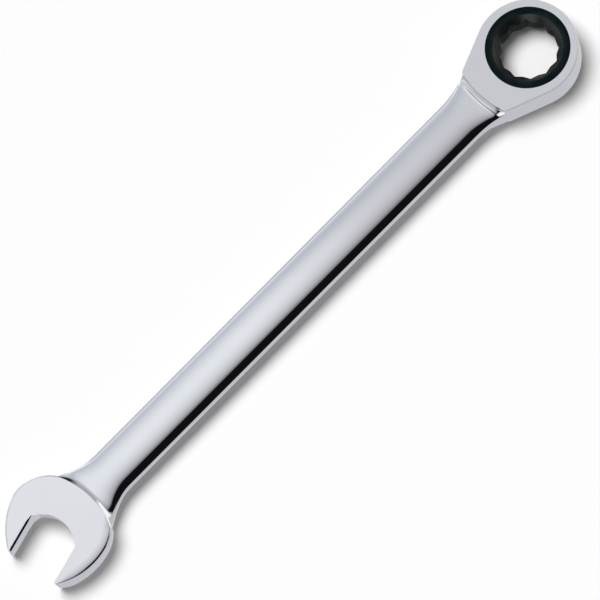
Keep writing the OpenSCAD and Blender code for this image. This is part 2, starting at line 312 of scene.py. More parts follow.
polishedChrome = makeMetal("polished_chrome", dict(
    metallic=1.0, dark=(0.77, 0.775, 0.79), light=(0.80, 0.803, 0.815), smooth=0.035, rough=0.06,
    grain=2600.0, smudge=60.0, lines=1500.0, lineShare=0.6, bump=0.02, depth=0.00002))
satinChrome = makeMetal("satin_chrome", dict(
    metallic=1.0, dark=(0.885, 0.885, 0.89), light=(0.92, 0.92, 0.925), smooth=0.27, rough=0.36,
    grain=5200.0, smudge=90.0, lines=2600.0, lineShare=0.3, bump=0.12, depth=0.00003))
blackOxide = makeMetal("black_oxide", dict(
    metallic=0.0, specular=0.03, dark=(0.0012, 0.0050, 0.0054), light=(0.0030, 0.0082, 0.0087),
    worn=(0.012, 0.015, 0.016), smooth=0.40, rough=0.58, grain=4200.0, smudge=240.0, lines=2600.0,
    lineShare=0.2, bump=0.15, depth=0.00003))
rubbedOxide = makeMetal("rubbed_oxide", dict(
    metallic=0.0, specular=0.5, dark=(0.004, 0.005, 0.005), light=(0.007, 0.008, 0.008),
    worn=(0.012, 0.015, 0.016), smooth=0.22, rough=0.34, grain=4200.0, smudge=240.0, lines=2600.0,
    lineShare=0.2, bump=0.1, depth=0.00002))
groundSteel = makeMetal("ground_steel", dict(
    metallic=1.0, dark=(0.33, 0.33, 0.35), light=(0.45, 0.45, 0.47), smooth=0.28, rough=0.45,
    grain=3800.0, smudge=300.0, lines=3600.0, lineShare=1.0, bump=0.2, depth=0.00003))
springSteel = makeMetal("spring_steel", dict(
    metallic=1.0, dark=(0.40, 0.40, 0.42), light=(0.55, 0.55, 0.56), smooth=0.2, rough=0.34,
    grain=5000.0, smudge=500.0, lines=4000.0, lineShare=0.4, bump=0.1, depth=0.00002))
ringSteel = makeMetal("ring_steel", dict(
    metallic=1.0, dark=(0.30, 0.305, 0.32), light=(0.42, 0.425, 0.44), smooth=0.26, rough=0.42,
    grain=4200.0, smudge=260.0, lines=3000.0, lineShare=0.6, bump=0.15, depth=0.00003))
print("materials made")

# Body: ring head, handle and open end in one forging
head = dict(radius=11.426, shift=0.3, half=3.6, flank=22.0, faceEnd=14.896, endR=25.0, corner=0.6)
handle = dict(
    ringHalf=5.5, openHalf=5.45, half=2.2,
    fullness=2.6,  # 2 is an ellipse, and more is squarer
    ringUp=3.4, ringUpLength=8.0, ringLow=9.0, ringLowLength=4.5,  # squarer towards the ring
    openLow=6.0, openLowLength=7.0,  # and, below, towards the open end
    swell=0.1, swellLength=6.0,
    ringSweep=27.0, openSweep=11.2, openLength=7.8, ringFillet=1.9, openFillet=2.0,
    openDip=0.5, openDipLength=7.0, ringDip=0.12, ringDipLength=0.8, ringUnder=7.0, openUnder=8.0,
    tuck=0.08, sideTuck=0.03,  # how far it stays inside the faces and flanks of the heads
    ringIn=2.0, openIn=1.5,  # how far it goes into them
    around=144, bowPasses=4, filletTurn=9, neckLength=9.0, neckSteps=24, shankSteps=40)
openEnd = dict(
    half=2.5, nut=(-155.0, -1.9), tilt=15.0, gap=12.1, jawUp=(-143.5, -6.18), upR=19.4,
    jawLow=(-149.5, 3.45), lowR=15.95, backC=(-161.05, -0.7), backR=22.0,
    shoulderR=8.6, shoulderTurn=116.4, heelR=10.1, heelTurn=-75.0,
    throatC=(-155.5, -1.2), throatR=8.05, upTip=0.4, lowTip=0.3,
    upEnd=-3.7, lowEnd=-5.6, upCut=0.45, lowCut=0.85, cutLength=3.5)
# rims: tight rounding, soft fall of the face before it, lean of the wall below, straight share
rims = dict(
    ring=(0.05, 0.25, 0.0, 0.0), ringEnd=(0.1, 0.0, 0.0, 0.0),
    tip=(0.2, 0.0, 0.0, 0.0), lowTip=(0.04, 0.0, 0.0, 0.0), up=(0.5, 0.4, 0.0, 0.0),
    back=(0.2, 0.0, 0.0, 0.0), heel=(0.6, 1.7, 0.0, 0.0), low=(0.26, 1.5, 0.0, 0.0),
    flat=(0.5, 0.0, 0.0, 1.0), root=(0.1, 0.0, 0.0, 1.0), throat=(0.1, 0.0, 0.88, 0.0),
    lowFlat=(0.04, 0.0, 0.0, 0.0))
rimShape = dict(
    softDrop=10.0,  # degrees that the face falls by
    arcs=(0, 12, 24, 36, 48, 58, 68), softs=(0.25, 0.5, 0.75, 1.0),  # where the rings of a rim lie
    sharpest=0.5, faceSlope=0.975)
# runs of both outlines: steps, and the rims as (share of the run, name of the rim)
runs = dict(
    ring=(150, [(0, "ring"), (1, "ring")]),
    lowCorner=(10, [(0, "ring"), (1, "ringEnd")]),
    faceEnd=(40, [(0, "ringEnd"), (1, "ringEnd")]),
    upCorner=(10, [(0, "ringEnd"), (1, "ring")]),
    upTip=(12, [(0, "flat"), (0.8, "flat"), (1, "tip")]),
    up=(44, [(0, "tip"), (0.2, "up"), (1, "up")]),
    shoulder=(40, [(0, "up"), (0.6, "up"), (0.9, "back"), (1, "back")]),
    back=(48, [(0, "back"), (0.8, "back"), (1, "heel")]),
    heel=(24, [(0, "heel"), (1, "heel")]),
    low=(48, [(0, "heel"), (0.4, "heel"), (0.75, "low"), (1, "lowTip")]),
    lowTip=(8, [(0, "lowTip"), (1, "lowTip")]),
    lowFlat=(20, [(0, "lowTip"), (0.15, "lowFlat"), (1, "lowFlat")]),
    throat=(48, [(0, "lowFlat"), (0.15, "throat"), (0.88, "throat"), (1, "root")]),
    upFlat=(20, [(0, "root"), (0.2, "flat"), (1, "flat")]))
closest = 0.02  # points of an outline are at least this far apart
bore = dict(
    lip=9.456, bore=9.706, groove=10.106, lipLow=2.25, grooveLow=-2.93, grooveTop=-2.27, edge=0.12,
    lipBreak=0.3, pocketFront=8.4, pocketBack=12.746, pocketHalfY=2.55, pocketHalfZ=1.95,
    springR=1.05, springEnd=16.146,
    overLow=1.0, overTop=0.5, overSpring=0.5)  # how far the cutters go past what they cut
jawLean = math.radians(openEnd["tilt"])
inward = (math.cos(jawLean), math.sin(jawLean))  # along the jaw flats, towards the throat


def onCircle(centre, radius, degrees):
    a = math.radians(degrees)
    return centre[0] + radius * math.cos(a), centre[1] + radius * math.sin(a)


def angleFrom(centre, point):
    return math.degrees(math.atan2(point[1] - centre[1], point[0] - centre[0]))


def meetAngle(centre, radius):
    # where a circle of the outline meets the arc that ends the raised face
    dx = openEnd["backC"][0] - centre[0]
    dy = openEnd["backC"][1] - centre[1]
    gap = math.hypot(dx, dy)
    share = (radius ** 2 + gap ** 2 - openEnd["backR"] ** 2) / (2 * radius * gap)
    return math.degrees(math.atan2(dy, dx) + math.acos(share))


def lineOnCircle(point, direction, centre, radius):
    # far crossing of a straight line with a circle, going along direction
    px, py = point[0] - centre[0], point[1] - centre[1]
    b = px * direction[0] + py * direction[1]
    c = px * px + py * py - radius * radius
    t = -b + math.sqrt(b * b - c)
    return point[0] + t * direction[0], point[1] + t * direction[1]


def rimAt(stops, share):
    # the rim between the stops on both sides
    for (s0, r0), (s1, r1) in zip(stops, stops[1:]):
        if share <= s1:
            part = (share - s0) / (s1 - s0)
            return tuple(a + (b - a) * part for a, b in zip(rims[r0], rims[r1]))
    return rims[stops[-1][1]]


def arcRun(run, name, centre, radius, start, stop):
    steps, stops = runs[name]
    for k in range(steps + 1):
        point = onCircle(centre, radius, start + (stop - start) * k / steps)
        if not run or math.dist(run[-1][0], point) > closest:
            run.append((point, rimAt(stops, k / steps)))


def flatRun(run, name, start, stop):
    # points between both ends of a straight jaw flat
    steps, stops = runs[name]
    for k in range(1, steps):
        point = Vector(start).lerp(Vector(stop), k / steps)
        run.append((tuple(point), rimAt(stops, k / steps)))


def tipCentre(side, jaw, jawR, radius):
    # centre of the rounding between a jaw flat and the outer arc
    o = openEnd
    outward = -Vector(inward)
    across = Vector((-inward[1], inward[0]))
    rel = Vector(jaw) - Vector(o["nut"])
    high = side * (o["gap"] / 2 + radius)
    reach = math.sqrt((jawR - radius) ** 2 - (high - rel.dot(across)) ** 2)
    return tuple(Vector(o["nut"]) + outward * (rel.dot(outward) + reach) + across * high)


def openOutline():
    # clockwise from the upper tip over the shoulder, the back, the heel and the lower tip to the throat
    o = openEnd
    run = []
    tipC = tipCentre(1, o["jawUp"], o["upR"], o["upTip"])
    turn = angleFrom(o["jawUp"], tipC) % 360
    arcRun(run, "upTip", tipC, o["upTip"], 270 + o["tilt"], turn)
    arcRun(run, "up", o["jawUp"], o["upR"], turn, o["shoulderTurn"])
    shoulderC = onCircle(o["jawUp"], o["upR"] - o["shoulderR"], o["shoulderTurn"])
    shoulderA = meetAngle(shoulderC, o["shoulderR"])
    arcRun(run, "shoulder", shoulderC, o["shoulderR"], o["shoulderTurn"], shoulderA)
    heelC = onCircle(o["jawLow"], o["lowR"] - o["heelR"], o["heelTurn"])
    heelA = meetAngle(heelC, o["heelR"]) - 360
    backFrom = angleFrom(o["backC"], run[-1][0])
    backTo = angleFrom(o["backC"], onCircle(heelC, o["heelR"], heelA))
    arcRun(run, "back", o["backC"], o["backR"], backFrom, backTo)
    arcRun(run, "heel", heelC, o["heelR"], heelA, o["heelTurn"])
    tipC = tipCentre(-1, o["jawLow"], o["lowR"], o["lowTip"])
    turn = angleFrom(o["jawLow"], tipC) % 360 - 360
    arcRun(run, "low", o["jawLow"], o["lowR"], o["heelTurn"], turn)
    arcRun(run, "lowTip", tipC, o["lowTip"], turn, o["tilt"] - 270)
    lowEnd, upEnd = run[-1][0], run[0][0]
    lowRoot = lineOnCircle(lowEnd, inward, o["throatC"], o["throatR"])
    upRoot = lineOnCircle(upEnd, inward, o["throatC"], o["throatR"])
    throatFrom = angleFrom(o["throatC"], lowRoot)
    throatTo = angleFrom(o["throatC"], upRoot)
    flatRun(run, "lowFlat", lowEnd, lowRoot)
    arcRun(run, "throat", o["throatC"], o["throatR"], throatFrom, throatTo)
    flatRun(run, "upFlat", upRoot, upEnd)
    return run


def clamp(value):
    return min(1.0, max(0.0, value))


def fade(d, length):
    # from 1 at the start to 0 at the length, levelling out
    return max(0.0, 1 - max(d, 0.0) / length) ** 2


def ease(u):
    # from 1 to 0, level at both ends
    return (1 - u) ** 2 * (1 + 2 * u)


def tipCut(point):
    # both jaw tips go back along the flats towards their lower rim
    o = openEnd
    flat = Vector(inward)
    place = Vector(point) - Vector(o["nut"])
    upper = place.dot(Vector((-inward[1], inward[0]))) > 0
    far, depth = (o["upEnd"], o["upCut"]) if upper else (o["lowEnd"], o["lowCut"])
    return flat * depth * fade(place.dot(flat) - far, o["cutLength"])


def makePlate(run, half, name, cut=None):
    # the outline is lofted through rings that draw in at both faces, as far as the rim goes there
    count = len(run)
    inset = []
    for k, (point, _) in enumerate(run):
        before = (Vector(point) - Vector(run[k - 1][0])).normalized()
        after = (Vector(run[(k + 1) % count][0]) - Vector(point)).normalized()
        mean = (before + after).normalized()
        inset.append(Vector((mean.y, -mean.x)) / max(rimShape["sharpest"], mean.dot(after)))
    softDrop = rimShape["softDrop"]
    end = math.radians(90 - softDrop)
    arcs = [("arc", math.radians(a)) for a in (*rimShape["arcs"], 90 - softDrop)]
    soft = [("soft", share) for share in rimShape["softs"]]
    rings = [(-1, *r) for r in reversed(arcs + soft)] + [(1, *r) for r in arcs + soft]

    def rimPoint(ring, turn):
        side, kind, amount = ring
        k = round(turn * count) % count
        point, (tight, fall, lean, straight) = run[k]
        lost = fall * math.tan(math.radians(softDrop)) / 2
        a = amount if kind == "arc" else end
        # the rounding, or its chord where the rim is straight
        across = (1 - math.cos(a)) * (1 - straight) + (1 - math.cos(end)) * a / end * straight
        rise = math.sin(a) * (1 - straight) + math.sin(end) * a / end * straight
        draw = tight * across
        high = half - lost - tight * (math.sin(end) - rise)
        if kind == "soft":
            draw += fall * amount
            high += lost * (1 - (1 - amount) ** 2)
        if side < 0:
            # a leaning wall goes back towards its lower rim
            draw += lean
        spot = Vector(point) + inset[k] * draw
        if cut and side < 0:
            spot += cut(point)
        return Vector((spot.x, spot.y, side * high))

    bm = bmesh.new()
    first, last = loftRings(bm, count, rings, rimPoint)
    bmesh.ops.edgeloop_fill(bm, edges=first)
    bmesh.ops.edgeloop_fill(bm, edges=last)
    bm.normal_update()
    for f in bm.faces:
        f.material_index = 1 if abs(f.normal.z) > rimShape["faceSlope"] else 0
    return toObject(bm, name, [polishedChrome, satinChrome])


def headOutline():
    # clockwise from the upper flank around the ring, along the lower flank and the end of the raised face
    h = head
    run = []
    turn = 90 + h["flank"]
    centre = Vector((-h["shift"], 0))
    arcRun(run, "ring", centre, h["radius"], turn, -turn)
    arcC = Vector((h["endR"] - h["faceEnd"], 0))
    out = Vector(onCircle((0, 0), 1, -turn))
    back = Vector((out.y, -out.x))
    start = centre + out * (h["radius"] - h["corner"])
    cornerC = Vector(lineOnCircle(start, back, arcC, h["endR"] - h["corner"]))
    corner = angleFrom(arcC, cornerC)
    arcRun(run, "lowCorner", cornerC, h["corner"], -turn, corner)
    arcRun(run, "faceEnd", arcC, h["endR"], corner, -360 - corner)
    mirrored = (cornerC.x, -cornerC.y)
    arcRun(run, "upCorner", mirrored, h["corner"], -360 - corner, turn - 360)
    return run


openBack = -(openEnd["backC"][0] + openEnd["backR"])
flankLean = math.radians(head["flank"])
flankHalf = handle["ringHalf"] + handle["ringSweep"] * (1 - math.cos(flankLean))
# where the sweep leaves the line of the flank, and where it ends
sweepStart = (head["radius"] - handle["sideTuck"] - flankHalf * math.cos(flankLean)) / math.sin(flankLean)
sweepStart += head["shift"]
sweepEnd = sweepStart + handle["ringSweep"] * math.sin(flankLean)
ringRun = sweepEnd - head["faceEnd"]


def ringSide(x):
    # half width beside the ring: on the line of its flank, then through the sweep
    if x < sweepStart:
        return flankHalf + (sweepStart - x) * math.tan(flankLean)
    t = max(0.0, sweepEnd - x)
    return handle["ringHalf"] + handle["ringSweep"] - math.sqrt(handle["ringSweep"] ** 2 - t * t)


def hollow(u):
    # quarter circle of a hollow fillet, from 1 to 0
    return 1 - math.sqrt(max(0.0, 1 - (1 - u) ** 2))


def sectionAt(x):
    h = handle
    fromRing = x - head["faceEnd"]
    fromOpen = openBack - x
    share = clamp((fromRing - ringRun) / (openBack - h["openLength"] - head["faceEnd"] - ringRun))
    half = h["ringHalf"] + (h["openHalf"] - h["ringHalf"]) * share
    # beside the ring the sections bow with the end of its face
    bow = clamp(1 - fromRing / ringRun) / (2 * head["endR"])
    side = ringSide(x)
    for _ in range(h["bowPasses"]):
        side = ringSide(x - bow * side * side)
    half += side - h["ringHalf"]
    t = min(h["openLength"], max(0.0, h["openLength"] - fromOpen))
    half += h["openSweep"] - math.sqrt(h["openSweep"] ** 2 - t * t)
    swollen = fade(fromRing, h["swellLength"]) + fade(fromOpen, h["swellLength"])
    deep = h["half"] + h["swell"] * swollen
    deep -= h["openDip"] * fade(fromOpen - h["openFillet"], h["openDipLength"])
    deep -= h["ringDip"] * fade(fromRing - h["ringFillet"], h["ringDipLength"])
    # the underside comes out of both ends more gently than the top
    ringDeep = head["half"] - h["tuck"]
    openDeep = openEnd["half"] - h["tuck"]
    under = deep + (ringDeep - deep) * ease(clamp(fromRing / h["ringUnder"]))
    under += (openDeep - under) * ease(clamp(fromOpen / h["openUnder"]))
    if fromRing < h["ringFillet"]:
        deep += (ringDeep - deep) * hollow(max(0.0, fromRing) / h["ringFillet"])
    if fromOpen < h["openFillet"]:
        deep += (openDeep - deep) * hollow(max(0.0, fromOpen) / h["openFillet"])
    up = h["fullness"] + h["ringUp"] * fade(fromRing, h["ringUpLength"])
    low = h["fullness"] + h["ringLow"] * fade(fromRing, h["ringLowLength"])
    low += h["openLow"] * fade(fromOpen, h["openLowLength"])
    back = clamp(1 - fromOpen / h["openLength"]) ** 2 / (2 * openEnd["backR"])
    return x, half, deep, under, up, low, bow, back


def handlePoint(ring, turn):
    x, half, deep, under, up, low, bow, back = ring
    c = math.cos(math.tau * turn)
    s = math.sin(math.tau * turn)
    n, tall = (up, deep) if s >= 0 else (low, under)
    k = (abs(c) ** n + abs(s) ** n) ** (-1 / n)
    y = half * c * k
    z = tall * s * k
    return Vector((-x + bow * y * y - back * (y - openEnd["backC"][1]) ** 2, y, z))


def evenSteps(start, stop, steps):
    return [start + (stop - start) * k / steps for k in range(1, steps + 1)]


def makeHandle():
    h = handle
    ringEnd, openStart = head["faceEnd"], openBack
    ringNeck = ringEnd + h["neckLength"]
    openNeck = openStart - h["neckLength"]
    # close steps in the hollow fillets, wider ones along the handle
    quarter = [1 - math.cos(math.radians(a)) for a in range(0, 91, h["filletTurn"])]
    stations = [ringEnd - h["ringIn"]]
    stations += sorted(set(round(ringEnd + h["ringFillet"] * hollow(q), 5) for q in quarter))
    stations += evenSteps(ringEnd + h["ringFillet"], ringNeck, h["neckSteps"])
    stations += evenSteps(ringNeck, openNeck, h["shankSteps"])
    stations += evenSteps(openNeck, openStart - h["openFillet"], h["neckSteps"])
    stations += [openStart - h["openFillet"] * hollow(q) for q in quarter[1:]]
    stations += [openStart + h["openIn"]]
    bm = bmesh.new()
    first, last = loftRings(bm, h["around"], [sectionAt(x) for x in stations], handlePoint)
    bmesh.ops.edgeloop_fill(bm, edges=first)
    bmesh.ops.edgeloop_fill(bm, edges=last)
    return toObject(bm, "handleLoft", [polishedChrome, satinChrome])


def makeBoreCutter():
    b = bore
    e = b["edge"]
    z = head["half"]
    low = -z - b["overLow"]
    top = z + b["overTop"]
    nick = e * b["lipBreak"]
    profile = [
        (0, low), (b["bore"] + e + b["overLow"], low), (b["bore"] + e, -z), (b["bore"], -z + e),
        (b["bore"], b["grooveLow"]), (b["groove"], b["grooveLow"]), (b["groove"], b["grooveTop"]),
        (b["bore"], b["grooveTop"]), (b["bore"], b["lipLow"]), (b["lip"], b["lipLow"]),
        (b["lip"], z - e), (b["lip"] + nick, z - nick), (b["lip"] + e, z),
        (b["lip"] + e + b["overTop"], top), (0, top)]
    return turned(profile, "boreCutter")


def makePocketCutter():
    b = bore
    bm = bmesh.new()
    bmesh.ops.create_cube(bm, size=1.0)
    length = b["pocketBack"] - b["pocketFront"]
    bmesh.ops.scale(bm, vec=(length, 2 * b["pocketHalfY"], 2 * b["pocketHalfZ"]), verts=bm.verts)
    bmesh.ops.translate(bm, vec=(-b["pocketBack"] + length / 2, 0, 0), verts=bm.verts)
    return toObject(bm, "pocketCutter")


def makeSpringCutter():
    b = bore
    return rod(-b["springEnd"], -b["pocketBack"] + b["overSpring"], b["springR"], "springCutter")


def makeBody():
    base = makePlate(headOutline(), head["half"], "headPlate")
    helpers = [
        (makeHandle(), "UNION"),
        (makePlate(openOutline(), openEnd["half"], "openPlate", tipCut), "UNION"),
        (makeBoreCutter(), "DIFFERENCE"),
        (makePocketCutter(), "DIFFERENCE"),
        (makeSpringCutter(), "DIFFERENCE")]
    body = combine(base, helpers, "wrenchBody", sharp=26.0)
    evenNormals(body)
    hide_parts("wrench_body")
    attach(body, "body")
    print("body made,", len(body.data.polygons), "faces")


makeBody()

# Ratchet gear: black ring with a 12 point socket and 72 teeth
gear = dict(
    flat=6.05, cornerTurn=19.0, blend=70.0, top=3.5, leadR=6.886, lead=1.0, lowLead=1.4,
    journalTop=9.396, journalLow=8.596, teethTop=2.17, teethLow=-2.22, root=9.046, tip=9.646,
    teeth=72, samples=360, riseSteps=2, steep=0.28, toothBreak=0.08, toothStep=0.03,
    edge=0.16, edgeNear=0.12, edgeFar=0.45, step=0.09, stepIn=0.3, stepDrop=0.02, wallBand=0.06,
    coneSlope=(0.4, 0.95))


def socketRadius(degrees):
    # two hexagons with their ridges slightly rounded
    g = gear
    total = 0.0
    for hexTurn in (0.0, 30.0):
        off = (degrees - g["cornerTurn"] + hexTurn) % 60.0 - 30.0
        total += (g["flat"] / math.cos(math.radians(off))) ** g["blend"]
    return total ** (1 / g["blend"])


def gearPoint(ring, turn):
    kind, r, z, _ = ring
    g = gear
    degrees = turn * 360.0
    if kind == "top":
        r = socketRadius(degrees)
        z = g["top"] - g["lead"] - (g["leadR"] - r) - z
    elif kind == "low":
        r = socketRadius(degrees)
        z = -g["top"] + g["lowLead"] + (g["leadR"] - r) + z
    elif kind == "teeth":
        # a few steps up the steep side of the tooth, the others down its long side
        perTooth = g["samples"] // g["teeth"]
        tooth, place = divmod(round(turn * g["samples"]), perTooth)
        if place <= g["riseSteps"]:
            share = place / g["riseSteps"]
            spot = share * g["steep"]
        else:
            share = (perTooth - place) / (perTooth - g["riseSteps"])
            spot = 1 - share * (1 - g["steep"])
        degrees = (tooth + spot) * 360.0 / g["teeth"]
        r = g["root"] + (g["tip"] - g["root"]) * share - r
    a = math.radians(degrees)
    return Vector((r * math.cos(a), r * math.sin(a), z))


def makeGear():
    g = gear
    e = g["edge"]
    near = e * g["edgeNear"]
    far = e * g["edgeFar"]
    step = g["step"]
    top = g["top"]
    coneTop = g["leadR"] + g["lead"]
    coneLow = g["leadR"] + g["lowLead"]
    journalTop = g["journalTop"]
    journalLow = g["journalLow"]
    chip = g["toothBreak"]
    # from the socket over the top, down the outside and back up inside: kind, radius, height, wear
    rings = [
        ("top", 0, 0.0, 0.0),
        ("round", coneTop - step, top - step, 1.0),
        ("round", coneTop - g["stepIn"] * step, top - g["edgeNear"] * step - g["stepDrop"], 1.0),
        ("round", coneTop + step, top, 1.0),
        ("round", journalTop - e, top, 0.0),
        ("round", journalTop - far, top - near, 1.0),
        ("round", journalTop - near, top - far, 1.0),
        ("round", journalTop, top - e, 0.0),
        ("round", journalTop, g["teethTop"] + g["toothStep"], 0.0),
        ("teeth", chip, g["teethTop"], 0.0),
        ("teeth", 0.0, g["teethTop"] - chip, 0.0),
        ("teeth", 0.0, g["teethLow"] + chip, 0.0),
        ("teeth", chip, g["teethLow"], 0.0),
        ("round", journalLow, g["teethLow"], 0.0),
        ("round", journalLow, -top + e, 0.0),
        ("round", journalLow - near, -top + far, 1.0),
        ("round", journalLow - far, -top + near, 1.0),
        ("round", journalLow - e, -top, 0.0),
        ("round", coneLow + step, -top, 0.0),
        ("round", coneLow - step, -top + step, 1.0),
        ("low", 0, 0.0, 0.0),
        ("low", 0, g["wallBand"], 0.0),
        ("top", 0, g["wallBand"], 0.0),
        ("top", 0, 0.0, 0.0)]
    bm = bmesh.new()
    loftRings(bm, g["samples"], rings, gearPoint)
    wear = bm.verts.layers.float.new("wear")
    bm.verts.ensure_lookup_table()
    for i, v in enumerate(bm.verts):
        v[wear] = rings[i // g["samples"]][3]
    bmesh.ops.remove_doubles(bm, verts=bm.verts, dist=0.0005)
    # nuts rub the lead-in cones smooth
    bm.normal_update()
    steepest, flattest = g["coneSlope"]
    for f in bm.faces:
        cone = steepest < abs(f.normal.z) < flattest
        f.material_index = 1 if cone and f.calc_center_median().xy.length < coneLow else 0
    obj = toObject(bm, "ratchetGear", [blackOxide, rubbedOxide], sharp=24.0)
    evenNormals(obj)
    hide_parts("ratchet_gear")
    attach(obj, "gear")
    print("gear made")


makeGear()

# Retaining ring: open spring ring under the gear
snapRing = dict(inner=8.746, outer=10.076, low=-2.9, top=-2.3, gap=22.0, edge=0.12, steps=150)


def makeSnapRing():
    r = snapRing
    bm = bmesh.new()
    bmesh.ops.create_grid(bm, x_segments=1, y_segments=1, size=0.5)
    upright = Matrix.Rotation(math.pi / 2, 3, "X")
    bmesh.ops.rotate(bm, verts=bm.verts, cent=(0, 0, 0), matrix=upright)
    bmesh.ops.scale(bm, vec=(r["outer"] - r["inner"], 1, r["top"] - r["low"]), verts=bm.verts)
    middle = ((r["outer"] + r["inner"]) / 2, 0, (r["top"] + r["low"]) / 2)
    bmesh.ops.translate(bm, vec=middle, verts=bm.verts)
    bmesh.ops.bevel(
        bm, geom=bm.verts[:], offset=r["edge"], offset_type="OFFSET", segments=3, profile=0.5,
        affect="VERTICES", material=-1)
    firstEnd = Matrix.Rotation(math.radians(r["gap"] / 2), 3, "Z")
    bmesh.ops.rotate(bm, verts=bm.verts, cent=(0, 0, 0), matrix=firstEnd)
    bmesh.ops.spin(
        bm, geom=bm.faces[:], cent=(0, 0, 0), axis=(0, 0, 1), dvec=(0, 0, 0),
        angle=math.radians(360 - r["gap"]), steps=r["steps"], use_merge=False, use_duplicate=False)
    obj = toObject(bm, "retainingRing", [ringSteel])
    evenNormals(obj)
    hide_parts("retaining_ring")
    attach(obj, "body")
    print("retaining ring made")


makeSnapRing()

# Pawl: toothed block that the spring pushes against the gear
pawl = dict(
    back=11.896, half=2.5, high=1.9, mesh=0.12, seatR=1.05, seat=1.0, overSeat=1.0, edge=0.14,
    sideGap=0.05,  # no tooth corner is drawn closer to a side
    facing=range(30, 43),  # gear teeth on the pawl's side
    near=0.01)  # what counts as the same place


def toothCorner(turn, r):
    # corner of a gear tooth, moved out by the mesh gap
    a = math.radians(turn * 360.0 / gear["teeth"])
    return (r + pawl["mesh"]) * math.cos(a), (r + pawl["mesh"]) * math.sin(a)


def toothEdge(y):
    # where the pawl's tooth outline has this y
    g = gear
    found = []
    for i in pawl["facing"]:
        corners = [
            toothCorner(i, g["root"]), toothCorner(i + g["steep"], g["tip"]), toothCorner(i + 1, g["root"])]
        for (x0, y0), (x1, y1) in zip(corners, corners[1:]):
            if min(y0, y1) <= y <= max(y0, y1):
                found.append(x0 + (x1 - x0) * (y - y0) / (y1 - y0))
    return min(found)


def makePawl():
    p = pawl
    bm = bmesh.new()
    first = bm.verts.new((-p["back"], -p["half"], 0))
    last = drawLine(bm, first, toothEdge(-p["half"]), -p["half"])
    corners = [toothCorner(i, gear["root"]) for i in p["facing"]]
    corners += [toothCorner(i + gear["steep"], gear["tip"]) for i in p["facing"]]
    for x, y in sorted(corners, key=lambda c: c[1]):
        if abs(y) < p["half"] - p["sideGap"]:
            last = drawLine(bm, last, x, y)
    last = drawLine(bm, last, toothEdge(p["half"]), p["half"])
    last = drawLine(bm, last, -p["back"], p["half"])
    closeOutline(bm, last, first)
    thicken(bm, p["high"])
    # the back's edges and the long edges of both sides are broken
    edges = [e for e in bm.edges if all(abs(v.co.x + p["back"]) < p["near"] for v in e.verts)]
    edges += [
        e for e in bm.edges
        if all(abs(abs(v.co.y) - p["half"]) < p["near"] for v in e.verts)
        and abs(e.verts[0].co.z - e.verts[1].co.z) < p["near"]]
    bmesh.ops.bevel(
        bm, geom=list(set(edges)), offset=p["edge"], offset_type="OFFSET", segments=3, profile=0.5,
        affect="EDGES", material=-1, clamp_overlap=True)
    block = toObject(bm, "pawlBlock", [groundSteel])
    seat = rod(-p["back"] - p["overSeat"], -p["back"] + p["seat"], p["seatR"], "pawlSeat")
    obj = combine(block, [(seat, "DIFFERENCE")], "pawlPiece", sharp=28.0)
    evenNormals(obj)
    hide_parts("pawl")
    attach(obj, "pawl")
    print("pawl made")


makePawl()

# Spring: round wire wound along the handle axis
coil = dict(front=10.946, end=16.096, mean=0.8, wire=0.15, turns=6, steps=28, sides=10, travel=0.7)


def makeSpring():
    c = coil
    bm = bmesh.new()
    rise = (c["end"] - c["front"] - 2 * c["wire"]) / (c["turns"] * c["steps"])
    bmesh.ops.create_circle(bm, cap_ends=False, radius=c["wire"], segments=c["sides"])
    bmesh.ops.translate(bm, verts=bm.verts, vec=(-c["front"] - c["wire"], c["mean"], 0))
    start = bm.edges[:]
    made = bmesh.ops.spin(
        bm, geom=bm.verts[:] + start, cent=(0, 0, 0), axis=(1, 0, 0), dvec=(-rise, 0, 0),
        angle=math.tau * c["turns"], steps=c["turns"] * c["steps"], use_merge=False, use_duplicate=False)
    finish = [g for g in made["geom_last"] if isinstance(g, bmesh.types.BMEdge)]
    bmesh.ops.edgeloop_fill(bm, edges=start)
    bmesh.ops.edgeloop_fill(bm, edges=finish)
    obj = toObject(bm, "pawlSpring", [springSteel], sharp=50.0)
    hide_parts("pawl_spring")
    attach(obj, "body")
    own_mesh(obj)
    print("spring made")


makeSpring()

# Floor, lamp and studio world
stage = dict(
    floorZ=-3.62, floorSize=6000.0, floorColour=(0.90, 0.90, 0.90), floorRough=0.9,
    sunAngle=37.0, sunStrength=2.93, sunFrom=(-0.05, 0.41, 1.0), fill=0.23)


def makeFloor():
    s = stage
    bm = bmesh.new()
    bmesh.ops.create_grid(bm, x_segments=1, y_segments=1, size=s["floorSize"] / 2)
    bmesh.ops.translate(bm, verts=bm.verts, vec=(0, 0, s["floorZ"]))
    material = bpy.data.materials.new("studio_floor")
    material.use_nodes = True
    tree = material.node_tree
    shader = tree.nodes["Principled BSDF"]
    shader.inputs["Base Color"].default_value = (*s["floorColour"], 1)
    shader.inputs["Roughness"].default_value = s["floorRough"]
    shader.inputs["Specular IOR Level"].default_value = 0.0
    # seen from below the floor is clear
    below = tree.nodes.new("ShaderNodeNewGeometry")
    clear = tree.nodes.new("ShaderNodeBsdfTransparent")
    pick = tree.nodes.new("ShaderNodeMixShader")
    tree.links.new(below.outputs["Backfacing"], pick.inputs[0])
    tree.links.new(shader.outputs[0], pick.inputs[1])
    tree.links.new(clear.outputs[0], pick.inputs[2])
    tree.links.new(pick.outputs[0], tree.nodes["Material Output"].inputs[0])
    floor = toObject(bm, "studioFloor", [material])
    # polished metal sees the studio world below too, free of shadow
    floor.visible_glossy = False


